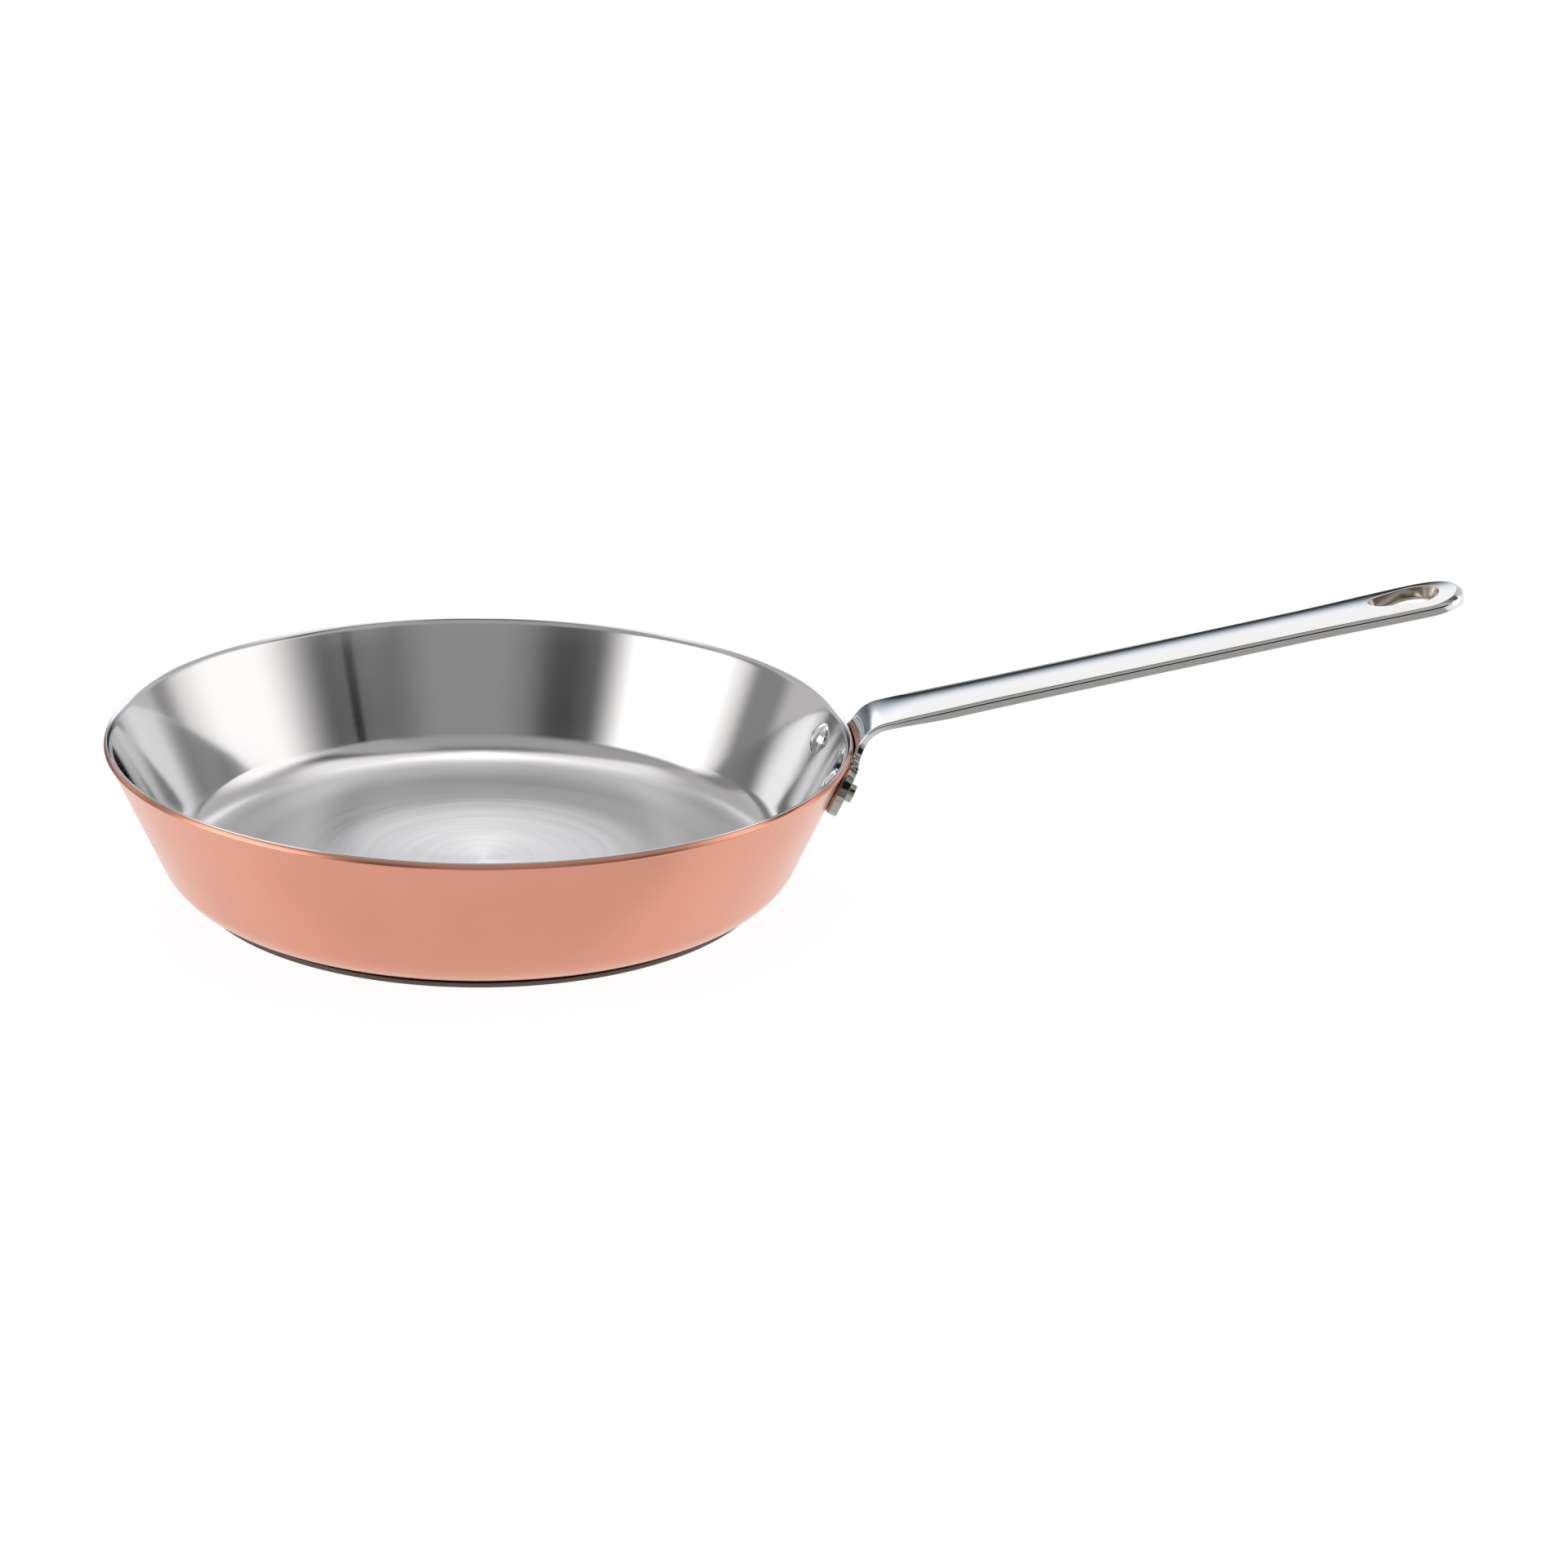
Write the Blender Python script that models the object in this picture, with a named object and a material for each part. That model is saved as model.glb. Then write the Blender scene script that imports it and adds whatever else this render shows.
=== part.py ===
"""Flared copper frying pan with a steel lining, an induction base disc and a riveted steel handle.

The origin is the centre of the base underside, +Z is the axis of the bowl and +X runs along the handle.
The copper body and its steel lining are each a turned shell, with a small gap between them.
The handle is drawn flat as one strip with a flange, then bent up off the wall and crowned on top.
"""
import math

import bmesh
import bpy
from mathutils import Matrix, Vector

MM = 0.001
GAP = 0.3 * MM                           # clearance between solids that touch on the real pan

# Bowl, measured on the outside of the copper
RIM_RADIUS = 130.0 * MM                  # outer edge of the lip
RIM_HEIGHT = 54.6 * MM                   # inner edge of the lip, the highest point of the bowl
BOWL_BOTTOM = 2.0 * MM                   # underside of the copper, above the base disc
WALL_LEAN = math.radians(22.85)          # wall angle from vertical
CORNER_RADIUS = 16.3 * MM
LIP_RADIUS = 2.0 * MM                    # bend that flares the rim into a pouring lip
LIP_LEAN = math.radians(62.0)            # lean of the lip, whose cut edge is square to the sheet
COPPER = 1.6 * MM
STEEL = 0.4 * MM
STEEL_DEPTH = COPPER + GAP
SHEET = STEEL_DEPTH + STEEL              # whole sheet thickness, gap included

# Base disc
DISC_RADIUS = 101.7 * MM
DISC_THICKNESS = 1.65 * MM
DISC_CHAMFER = 0.25 * MM

# Handle strip: s runs along the strip from the rivet line, v across it
RIVET_HEIGHT = 42.3 * MM                 # rivet line on the copper, above the base underside
RIVET_OFFSET = 24.3 * MM                 # each rivet's distance from the handle's centre line
LOBE_RADIUS = 9.5 * MM                   # round ends of the flange
WAIST_DEPTH = 7.0 * MM                   # flange edge below the rivet line, between the lobes
FILLET_RADIUS = 6.0 * MM                 # between flange and strip
FLANGE_THICKNESS = 4.0 * MM
BEND_THICKNESS = 2.4 * MM                # thinnest, round the bend past the lip
STRIP_THICKNESS = 3.3 * MM               # at the edges of the straight handle
THINNING = (5.0 * MM, 16.0 * MM)         # flange to bend
THICKENING = (27.0 * MM, 50.0 * MM)      # bend to straight handle
CROWN = 1.6 * MM                         # rise of the top face at mid width
CROWN_START = 14.0 * MM
CROWN_FULL = 40.0 * MM
NECK_HALF_WIDTH = 12.85 * MM             # narrowest half width of the strip
ROOT_FLARE = 1.1 * MM
ROOT_FLARE_START = 20.0 * MM
ROOT_FLARE_END = 75.0 * MM
TIP_FLARE = 1.35 * MM
TIP_FLARE_START = 175.0 * MM
LIFT_START = 5.5 * MM                    # strip leaves the wall here
LIFT_RADIUS = 25.0 * MM
LIFT_LEAN = math.radians(30.0)           # lean from vertical where the strip passes the lip
LIFT_RUN = 7.06 * MM                     # straight run past the lip
BEND_RADIUS = 12.0 * MM
HANDLE_RISE = math.radians(13.71)        # slope of the straight handle above horizontal
WRAP_END = 26.0 * MM                     # the flange's curve round the wall has faded out here
END_CENTRE = 219.8 * MM                  # centre of the round end, whose radius is the half width there
END_OVERHANG = 1.5 * MM                  # how far the underside runs out past the top face at the tip
SLOT_THROAT = ((217.0 * MM, 7.1 * MM), (206.6 * MM, 2.9 * MM))   # centre s and radius, wide end first
SLOT_RIM = ((218.2 * MM, 9.0 * MM), (207.6 * MM, 6.2 * MM))
RIM_ABOVE = 1.2 * MM                     # the rim outline lies this far above the strip's edge
THROAT_BELOW = 0.8 * MM                  # the funnel under the rim ends this far below it

# Rivets
HEAD_RADIUS = 5.8 * MM
HEAD_EDGE = 0.5 * MM                     # straight edge under the dome
HEAD_HEIGHT = 2.8 * MM
HEAD_CLEARANCE = 0.4 * MM                # under the head, where the liner curves towards it
SHANK_RADIUS = 2.5 * MM
TAIL_RADIUS = 3.25 * MM
TAIL_HEIGHT = 2.1 * MM
HOLE_RADIUS = SHANK_RADIUS + GAP

END_RADIUS = NECK_HALF_WIDTH + TIP_FLARE
BOWL_SEGMENTS = 72
RIVET_SEGMENTS = 24


def clear_scene():
    for obj in list(bpy.data.objects):
        bpy.data.objects.remove(obj, do_unlink=True)


def material(name, color, metallic, roughness):
    mat = bpy.data.materials.new(name)
    mat.use_nodes = True
    shader = mat.node_tree.nodes["Principled BSDF"]
    shader.inputs["Base Color"].default_value = (*color, 1.0)
    shader.inputs["Metallic"].default_value = metallic
    shader.inputs["Roughness"].default_value = roughness
    return mat


def finish_object(bm, name, mat=None, matrix=None):
    """Turn a bmesh into a smooth-shaded object with outward faces."""
    bmesh.ops.recalc_face_normals(bm, faces=bm.faces)
    mesh = bpy.data.meshes.new(name)
    bm.to_mesh(mesh)
    bm.free()
    mesh.shade_smooth()
    mesh.set_sharp_from_angle(angle=math.radians(30.0))
    if mat is not None:
        mesh.materials.append(mat)
    obj = bpy.data.objects.new(name, mesh)
    if matrix is not None:
        obj.matrix_world = matrix
    bpy.context.scene.collection.objects.link(obj)
    return obj


def turned(profile, segments):
    """Closed solid turned round Z from (radius, height) points that start and end on the axis."""
    bm = bmesh.new()
    rings = []
    for radius, height in profile:
        if radius == 0.0:
            rings.append([bm.verts.new((0.0, 0.0, height))])
            continue
        angles = [math.tau * i / segments for i in range(segments)]
        rings.append([bm.verts.new((radius * math.cos(a), radius * math.sin(a), height)) for a in angles])
    for lower, upper in zip(rings, rings[1:]):
        for i in range(segments):
            j = (i + 1) % segments
            lower_edge = [lower[i % len(lower)], lower[j % len(lower)]]
            upper_edge = [upper[j % len(upper)], upper[i % len(upper)]]
            bm.faces.new(list(dict.fromkeys(lower_edge + upper_edge)))
    return bm


def arc(centre, radius, start, end, steps):
    """Points (x, y) along an arc, both ends included, angles from +x towards +y."""
    angles = [start + (end - start) * i / steps for i in range(steps + 1)]
    return [(centre[0] + radius * math.cos(a), centre[1] + radius * math.sin(a)) for a in angles]


def smoothstep(low, high, x):
    t = min(max((x - low) / (high - low), 0.0), 1.0)
    return t * t * (3.0 - 2.0 * t)


# ---------------------------------------------------------------- bowl

LIP_CENTRE = (
    RIM_RADIUS + LIP_RADIUS * math.cos(LIP_LEAN),
    RIM_HEIGHT - (LIP_RADIUS + SHEET) * math.sin(LIP_LEAN),
)
LIP_START = (
    LIP_CENTRE[0] - LIP_RADIUS * math.cos(WALL_LEAN),
    LIP_CENTRE[1] + LIP_RADIUS * math.sin(WALL_LEAN),
)
CORNER_HEIGHT = BOWL_BOTTOM + CORNER_RADIUS


def wall_radius(height):
    """Radius of the copper's straight wall at a height."""
    return LIP_START[0] - (LIP_START[1] - height) * math.tan(WALL_LEAN)


CORNER_CENTRE = (
    wall_radius(CORNER_HEIGHT - CORNER_RADIUS * math.sin(WALL_LEAN)) - CORNER_RADIUS * math.cos(WALL_LEAN),
    CORNER_HEIGHT,
)


def bowl_line(depth, corner_steps=4, lip_steps=2):
    """Half section of the surface that lies depth inside the copper's outside, from axis to rim."""
    corner = arc(CORNER_CENTRE, CORNER_RADIUS - depth, -math.pi / 2, -WALL_LEAN, corner_steps)
    lip = arc(LIP_CENTRE, LIP_RADIUS + depth, math.pi - WALL_LEAN, math.pi - LIP_LEAN, lip_steps)
    return [(0.0, BOWL_BOTTOM + depth)] + corner + lip


def make_ply(name, outer_depth, inner_depth, mat):
    profile = bowl_line(outer_depth) + bowl_line(inner_depth)[::-1]
    return finish_object(turned(profile, BOWL_SEGMENTS), name, mat)


def make_disc(mat):
    profile = [
        (0.0, 0.0),
        (DISC_RADIUS - DISC_CHAMFER, 0.0),
        (DISC_RADIUS, DISC_CHAMFER),
        (DISC_RADIUS, DISC_THICKNESS),
        (0.0, DISC_THICKNESS),
    ]
    return finish_object(turned(profile, BOWL_SEGMENTS), "induction_base_disc", mat)


# ---------------------------------------------------------------- handle

def strip_path():
    """Pieces of the strip's pan-side line in the XZ plane: (start s, length, x, z, slope, turn rate)."""
    outward = Vector((math.cos(WALL_LEAN), -math.sin(WALL_LEAN))) * GAP
    origin = Vector((wall_radius(RIVET_HEIGHT), RIVET_HEIGHT)) + outward
    slope = math.pi / 2 - WALL_LEAN
    lift_slope = math.pi / 2 - LIFT_LEAN
    direction = Vector((math.cos(slope), math.sin(slope)))
    point = origin - direction * LOBE_RADIUS
    s = -LOBE_RADIUS
    runs = [
        (LIFT_START + LOBE_RADIUS, 0.0),
        (LIFT_RADIUS * (slope - lift_slope), -1.0 / LIFT_RADIUS),
        (LIFT_RUN, 0.0),
        (BEND_RADIUS * (lift_slope - HANDLE_RISE), -1.0 / BEND_RADIUS),
        (END_CENTRE + END_RADIUS, 0.0),
    ]
    pieces = []
    for length, turn in runs:
        pieces.append((s, length, point.x, point.y, slope, turn))
        x, z, slope = along_piece(pieces[-1], length)
        point = Vector((x, z))
        s += length
    return pieces


def along_piece(piece, distance):
    """Position and slope at a distance along one piece, straight or turning."""
    _, _, x, z, slope, turn = piece
    if turn == 0.0:
        return x + distance * math.cos(slope), z + distance * math.sin(slope), slope
    new_slope = slope + turn * distance
    x += (math.sin(new_slope) - math.sin(slope)) / turn
    z -= (math.cos(new_slope) - math.cos(slope)) / turn
    return x, z, new_slope


PATH = strip_path()
BEND_START = PATH[3][0]
BEND_END = PATH[4][0]


def on_strip(s, v, depth):
    """World point and unit normal at s along, v across and depth below the strip's pan-side face."""
    piece = next(p for p in reversed(PATH) if s >= p[0] or p is PATH[0])
    x, z, slope = along_piece(piece, s - piece[0])
    wrap = (1.0 - smoothstep(LIFT_START, WRAP_END, s)) / x
    angle = v * wrap
    outward = math.sin(slope)
    normal = Vector((-outward * math.cos(angle), -outward * math.sin(angle), math.cos(slope)))
    if wrap > 0.0:
        point = Vector((x - (1.0 - math.cos(angle)) / wrap, math.sin(angle) / wrap, z))
    else:
        point = Vector((x, v, z))
    return point - normal * depth, normal


def half_width(s):
    """Half width of the strip between its flange and its rounded end."""
    flare = ROOT_FLARE * (1.0 - smoothstep(ROOT_FLARE_START, ROOT_FLARE_END, s))
    return NECK_HALF_WIDTH + flare + TIP_FLARE * smoothstep(TIP_FLARE_START, END_CENTRE, s)


def thickness(s):
    """Thickness of the strip at its edges."""
    thinned = (BEND_THICKNESS - FLANGE_THICKNESS) * smoothstep(*THINNING, s)
    return FLANGE_THICKNESS + thinned + (STRIP_THICKNESS - BEND_THICKNESS) * smoothstep(*THICKENING, s)


def crown_height(s, v):
    """Rise of the top face, a parabola across the strip."""
    return CROWN * smoothstep(CROWN_START, CROWN_FULL, s) * max(1.0 - (v / half_width(s)) ** 2, 0.0)


def half_outline():
    """The strip's flat outline on the +v side, from the waist round the lobe to the tip."""
    lobe = (0.0, RIVET_OFFSET)
    waist_gap = LOBE_RADIUS - WAIST_DEPTH
    waist_radius = (RIVET_OFFSET ** 2 + WAIST_DEPTH ** 2 - LOBE_RADIUS ** 2) / (2.0 * waist_gap)
    waist_centre = (-waist_radius - WAIST_DEPTH, 0.0)
    waist_angle = math.atan2(RIVET_OFFSET, -waist_centre[0])
    neck = half_width(ROOT_FLARE_START)
    fillet_v = neck + FILLET_RADIUS
    fillet_s = math.sqrt((LOBE_RADIUS + FILLET_RADIUS) ** 2 - (RIVET_OFFSET - fillet_v) ** 2)
    fillet_angle = math.atan2(fillet_v - RIVET_OFFSET, fillet_s)
    points = arc(waist_centre, waist_radius, 0.0, waist_angle, 3)
    points += arc(lobe, LOBE_RADIUS, math.pi + waist_angle, fillet_angle, 12)[1:]
    points += arc((fillet_s, fillet_v), FILLET_RADIUS, math.pi + fillet_angle, 3.0 * math.pi / 2, 5)[1:]
    neck_steps = 14
    for i in range(1, neck_steps + 1):
        s = fillet_s + (END_CENTRE - fillet_s) * i / neck_steps
        points.append((s, half_width(s)))
    return points + arc((END_CENTRE, 0.0), END_RADIUS, math.pi / 2, 0.0, 8)[1:]


def prism(outline):
    """Flat prism over an (s, v) outline, its third coordinate 0 on top and 1 underneath."""
    bm = bmesh.new()
    face = bm.faces.new([bm.verts.new((s, v, 0.0)) for s, v in outline])
    top = bmesh.ops.extrude_face_region(bm, geom=[face])["geom"]
    for vert in (g for g in top if isinstance(g, bmesh.types.BMVert)):
        vert.co.z = 1.0
    return bm


def slice_at(bm, axis, values):
    """Cut new edge loops where the coordinate along axis takes each value."""
    normal = Vector((0.0, 0.0, 0.0))
    normal[axis] = 1.0
    for value in values:
        geom = list(bm.verts) + list(bm.edges) + list(bm.faces)
        bmesh.ops.bisect_plane(bm, geom=geom, dist=1e-7, plane_co=normal * value, plane_no=normal)


def even(low, high, steps):
    return [low + (high - low) * i / steps for i in range(steps + 1)]


def make_handle(mat, cutters):
    half = half_outline()
    outline = half + [(s, -v) for s, v in half[-2:0:-1]]
    bm = prism(outline)
    rows = even(LIFT_START, BEND_START, 4) + even(BEND_START, BEND_END, 6)[1:]
    rows += even(BEND_END, CROWN_FULL, 3)[1:] + even(CROWN_FULL, END_CENTRE, 9)[1:]
    rows += [END_CENTRE + END_RADIUS * f for f in (0.35, 0.65, 0.85)]
    slice_at(bm, 0, rows)
    slice_at(bm, 1, [5.0 * MM * i for i in range(-7, 8)])
    for vert in bm.verts:
        s, v, below = vert.co
        depth = below * thickness(s) - (1.0 - below) * crown_height(s, v)
        overhang = END_OVERHANG * (max(s - END_CENTRE, 0.0) / END_RADIUS) ** 2
        vert.co = on_strip(s + below * overhang, v, depth)[0]
    handle = finish_object(bm, "handle", mat)
    for cutter in cutters:
        cut(handle, cutter)
    return handle


def slot_outline(wide, narrow):
    """Egg shape: a wide round end towards the tip and a narrow one towards the pan."""
    side = math.acos((narrow[1] - wide[1]) / (wide[0] - narrow[0]))
    wide_end = arc((wide[0], 0.0), wide[1], side, -side, 14)
    return wide_end + arc((narrow[0], 0.0), narrow[1], -side, side - math.tau, 8)


# ---------------------------------------------------------------- rivets and cutters

def rivet_frame(side):
    """Matrix with its origin on the flange's pan-side face and +Z out through the flange."""
    point, normal = on_strip(0.0, side * RIVET_OFFSET, 0.0)
    return Matrix.Translation(point) @ (-normal).to_track_quat("Z", "Y").to_matrix().to_4x4()


def make_rivet(name, side, mat):
    """Domed head inside the bowl, shank through the sheet and flange, short flat tail outside."""
    head_base = -(GAP + SHEET + HEAD_CLEARANCE)
    rise = HEAD_HEIGHT - HEAD_EDGE
    sphere = (HEAD_RADIUS ** 2 + rise ** 2) / (2.0 * rise)
    rim_angle = math.asin(HEAD_RADIUS / sphere)
    dome = arc((0.0, head_base - HEAD_HEIGHT + sphere), sphere, -math.pi / 2, rim_angle - math.pi / 2, 4)
    dome[0] = (0.0, dome[0][1])
    tail_base = FLANGE_THICKNESS + GAP
    profile = dome + [
        (HEAD_RADIUS, head_base),
        (SHANK_RADIUS, head_base),
        (SHANK_RADIUS, tail_base),
        (TAIL_RADIUS, tail_base),
        (TAIL_RADIUS, tail_base + TAIL_HEIGHT),
        (0.0, tail_base + TAIL_HEIGHT),
    ]
    return finish_object(turned(profile, RIVET_SEGMENTS), name, mat, rivet_frame(side))


def as_cutter(obj):
    obj.hide_render = True
    obj.display_type = "WIRE"
    return obj


def make_hole_cutter(name, side):
    reach = 12.0 * MM
    profile = [(0.0, -reach), (HOLE_RADIUS, -reach), (HOLE_RADIUS, reach), (0.0, reach)]
    return as_cutter(finish_object(turned(profile, RIVET_SEGMENTS), name, None, rivet_frame(side)))


def make_slot_cutter():
    """Funnel from above the rim down to the throat, then straight out through the underside."""
    throat = slot_outline(*SLOT_THROAT)
    rim = slot_outline(*SLOT_RIM)
    reach = 8.0 * MM
    spread = (THROAT_BELOW + reach) / (THROAT_BELOW + RIM_ABOVE)
    mouth = [(t[0] + (r[0] - t[0]) * spread, t[1] + (r[1] - t[1]) * spread) for t, r in zip(throat, rim)]
    bm = bmesh.new()
    levels = []
    for outline, depth in ((mouth, -reach), (throat, THROAT_BELOW), (throat, reach)):
        levels.append([bm.verts.new(on_strip(s, v, depth)[0]) for s, v in outline])
    for upper, lower in zip(levels, levels[1:]):
        for i in range(len(upper)):
            j = (i + 1) % len(upper)
            bm.faces.new((upper[i], upper[j], lower[j], lower[i]))
    bm.faces.new(levels[0])
    bm.faces.new(levels[-1])
    return as_cutter(finish_object(bm, "slot_cutter"))


def cut(obj, cutter):
    modifier = obj.modifiers.new(cutter.name, "BOOLEAN")
    modifier.operation = "DIFFERENCE"
    modifier.solver = "EXACT"
    modifier.object = cutter


def build():
    clear_scene()
    copper = material("copper", (0.72, 0.33, 0.21), 1.0, 0.18)
    satin_steel = material("satin_steel", (0.66, 0.66, 0.67), 1.0, 0.28)
    base_steel = material("base_steel", (0.30, 0.26, 0.24), 1.0, 0.45)
    polished_steel = material("polished_steel", (0.72, 0.72, 0.73), 1.0, 0.08)

    sides = {"right": 1, "left": -1}
    holes = [make_hole_cutter(f"rivet_hole_cutter_{word}", side) for word, side in sides.items()]
    plies = [
        make_ply("copper_shell", 0.0, COPPER, copper),
        make_ply("steel_liner", STEEL_DEPTH, SHEET, satin_steel),
    ]
    for ply in plies:
        for hole in holes:
            cut(ply, hole)
    make_disc(base_steel)
    make_handle(polished_steel, holes + [make_slot_cutter()])
    for word, side in sides.items():
        make_rivet(f"rivet_{word}", side, polished_steel)


build()
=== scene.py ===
"""Looks of the copper frying pan: turned sheet, bent handle, rivets, their finishes and the studio.

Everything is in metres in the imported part's frame: +X along the handle, +Z up, origin under the base.
The handle is drawn flat, as in the CAD part, with s along the strip from the rivet line, v across it
and h down through it, then bent up off the wall of the bowl and crowned on top.
"""
import math

import bmesh
import bpy
from mathutils import Matrix, Vector


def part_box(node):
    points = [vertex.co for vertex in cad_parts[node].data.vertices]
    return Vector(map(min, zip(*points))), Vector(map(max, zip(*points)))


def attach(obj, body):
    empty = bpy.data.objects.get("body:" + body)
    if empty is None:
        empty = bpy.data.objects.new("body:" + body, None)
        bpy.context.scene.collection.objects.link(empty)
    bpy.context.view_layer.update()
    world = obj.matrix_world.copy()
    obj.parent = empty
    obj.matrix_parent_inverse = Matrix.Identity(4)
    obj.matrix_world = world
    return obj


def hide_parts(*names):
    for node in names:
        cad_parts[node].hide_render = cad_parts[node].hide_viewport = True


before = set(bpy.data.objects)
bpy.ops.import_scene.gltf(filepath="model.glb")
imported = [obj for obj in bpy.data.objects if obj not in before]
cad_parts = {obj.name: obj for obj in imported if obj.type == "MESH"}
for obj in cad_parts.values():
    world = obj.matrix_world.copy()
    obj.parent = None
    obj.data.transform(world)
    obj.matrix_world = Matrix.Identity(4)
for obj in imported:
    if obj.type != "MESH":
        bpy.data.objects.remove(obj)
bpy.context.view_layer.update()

MM = 0.001
GAP = 0.3 * MM                           # the CAD part's clearance between touching solids

# Bowl, measured on the outside of the copper
BOWL_LOW, BOWL_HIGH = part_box("copper_shell")
RIM_RADIUS = BOWL_HIGH.x
BOWL_BOTTOM = BOWL_LOW.z
RIM_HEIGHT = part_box("steel_liner")[1].z
WALL_LEAN = math.radians(22.85)          # wall angle from vertical
CORNER_RADIUS = 16.3 * MM
LIP_RADIUS = 2.0 * MM
LIP_LEAN = math.radians(62.0)
SHEET = 2.3 * MM
COPPER = 1.75 * MM                       # copper's share of the sheet, the rest is steel
EDGE_ROUND = 0.18 * MM                   # corners of the sheet's cut edge
BOWL_SEGMENTS = 360
TURNED_CREASE = 50.0                     # degrees over which an edge of the bowl or disc stays crisp

# Base disc
DISC_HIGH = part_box("induction_base_disc")[1]
DISC_CHAMFER = 0.25 * MM

# Handle strip
RIVET_HEIGHT = 42.3 * MM
RIVET_OFFSET = 24.3 * MM
LOBE_RADIUS = 9.5 * MM
WAIST_DEPTH = 7.0 * MM
FILLET_RADIUS = 6.0 * MM
FLANGE_THICKNESS = 4.0 * MM
BEND_THICKNESS = 2.4 * MM
STRIP_THICKNESS = 3.3 * MM
SEAT_FILL = 0.9                          # share of the clearance that the flange closes
SEAT_FADE = 3.0 * MM                     # past the lift's start, where that closing ends
THINNING = (5.0 * MM, 16.0 * MM)
THICKENING = (27.0 * MM, 50.0 * MM)
CROWN = 1.6 * MM
CROWN_START = 14.0 * MM
CROWN_FULL = 40.0 * MM
NECK_HALF_WIDTH = 12.85 * MM
ROOT_FLARE = 1.1 * MM
ROOT_FLARE_START = 20.0 * MM
ROOT_FLARE_END = 75.0 * MM
TIP_FLARE = 1.35 * MM
TIP_FLARE_START = 175.0 * MM
LIFT_START = 5.5 * MM
LIFT_RADIUS = 25.0 * MM
LIFT_LEAN = math.radians(30.0)
LIFT_RUN = 7.06 * MM
BEND_RADIUS = 12.0 * MM
HANDLE_RISE = math.radians(13.71)
WRAP_END = 26.0 * MM
END_CENTRE = 219.8 * MM
END_RADIUS = NECK_HALF_WIDTH + TIP_FLARE
END_BULGE = 1.4 * MM                     # how far the tip's side swells out past the top face
SLOT_THROAT = ((217.0 * MM, 7.1 * MM), (206.6 * MM, 2.9 * MM))
SLOT_RIM = ((218.2 * MM, 9.0 * MM), (207.6 * MM, 6.2 * MM))
# Runs of the slot's section: length, first and last angle in degrees (0 is inwards, 90 is down), steps
RIM_RUN = (0.3 * MM, 0.0, 60.0, 5)
FUNNEL_RUN = (2.6 * MM, 60.0, 72.0, 6)
LOWER_RUN = (0.6 * MM, 90.0, 180.0, 6)
TOP_ROUND = 1.2 * MM                     # rounded edges of the strip
UNDER_ROUND = 0.3 * MM
CELL = 1.5 * MM                          # mesh size along and across the handle
WAIST_STEPS, LOBE_STEPS, FILLET_STEPS, TIP_STEPS = 16, 48, 20, 40
TOP_ROUND_STEPS, UNDER_ROUND_STEPS = 8, 6
WIDE_END_STEPS, NARROW_END_STEPS = 36, 20
CUT_TOLERANCE = 1e-8
WELD_DISTANCE = 1e-7
NORMAL_OFFSET = 2e-6                     # half the span over which the bent surface's slope is taken

# Rivets
HEAD_RADIUS = 5.8 * MM
HEAD_HEIGHT = 2.8 * MM
HEAD_EDGE = 0.35 * MM
SHANK_RADIUS = 2.5 * MM
TAIL_RADIUS = 3.25 * MM
TAIL_HEIGHT = 2.3 * MM
TAIL_CHAMFER = 0.3 * MM
RIVET_SEGMENTS = 96
RIVET_CREASE = 40.0
DOME_STEPS, HEAD_EDGE_STEPS, TAIL_CHAMFER_STEPS = 20, 5, 4


def smoothstep(low, high, x):
    t = min(max((x - low) / (high - low), 0.0), 1.0)
    return t * t * (3.0 - 2.0 * t)


def arc(centre, radius, start, end, steps):
    """Points (x, y) along an arc, both ends included, angles from +x towards +y."""
    angles = [start + (end - start) * i / steps for i in range(steps + 1)]
    return [(centre[0] + radius * math.cos(a), centre[1] + radius * math.sin(a)) for a in angles]


def even(low, high, steps):
    """Numbers from low to high in equal steps, both ends included."""
    return [low + (high - low) * i / steps for i in range(steps + 1)]


def between(a, b, share):
    """The point (x, y) at a share of the way from a to b."""
    return a[0] + (b[0] - a[0]) * share, a[1] + (b[1] - a[1]) * share


def link_object(name, mesh, mat):
    """Put a mesh in the scene with its one material."""
    mesh.materials.append(mat)
    obj = bpy.data.objects.new(name, mesh)
    bpy.context.scene.collection.objects.link(obj)
    return obj


def place(obj, node):
    """The piece stands for its CAD node and rides on the one body."""
    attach(obj, "root")
    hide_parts(node)


def turned(profile, segments):
    """Closed solid turned round Z from (radius, height) points that start and end on the axis."""
    bm = bmesh.new()
    rings = []
    for radius, height in profile:
        if radius == 0.0:
            rings.append([bm.verts.new((0.0, 0.0, height))])
            continue
        angles = [math.tau * i / segments for i in range(segments)]
        rings.append([bm.verts.new((radius * math.cos(a), radius * math.sin(a), height)) for a in angles])
    for lower, upper in zip(rings, rings[1:]):
        for i in range(segments):
            j = (i + 1) % segments
            picks = ((lower, i), (lower, j), (upper, j), (upper, i))
            corners = [ring[k % len(ring)] for ring, k in picks]
            bm.faces.new(list(dict.fromkeys(corners)))
    return bm


def turned_object(profile, segments, name, mat, crease):
    """A smooth-shaded turned solid whose edges over crease degrees stay crisp."""
    bm = turned(profile, segments)
    bmesh.ops.recalc_face_normals(bm, faces=bm.faces)
    mesh = bpy.data.meshes.new(name)
    bm.to_mesh(mesh)
    bm.free()
    mesh.shade_smooth()
    mesh.set_sharp_from_angle(angle=math.radians(crease))
    return link_object(name, mesh, mat)

# ---------------------------------------------------------------- bowl

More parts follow.
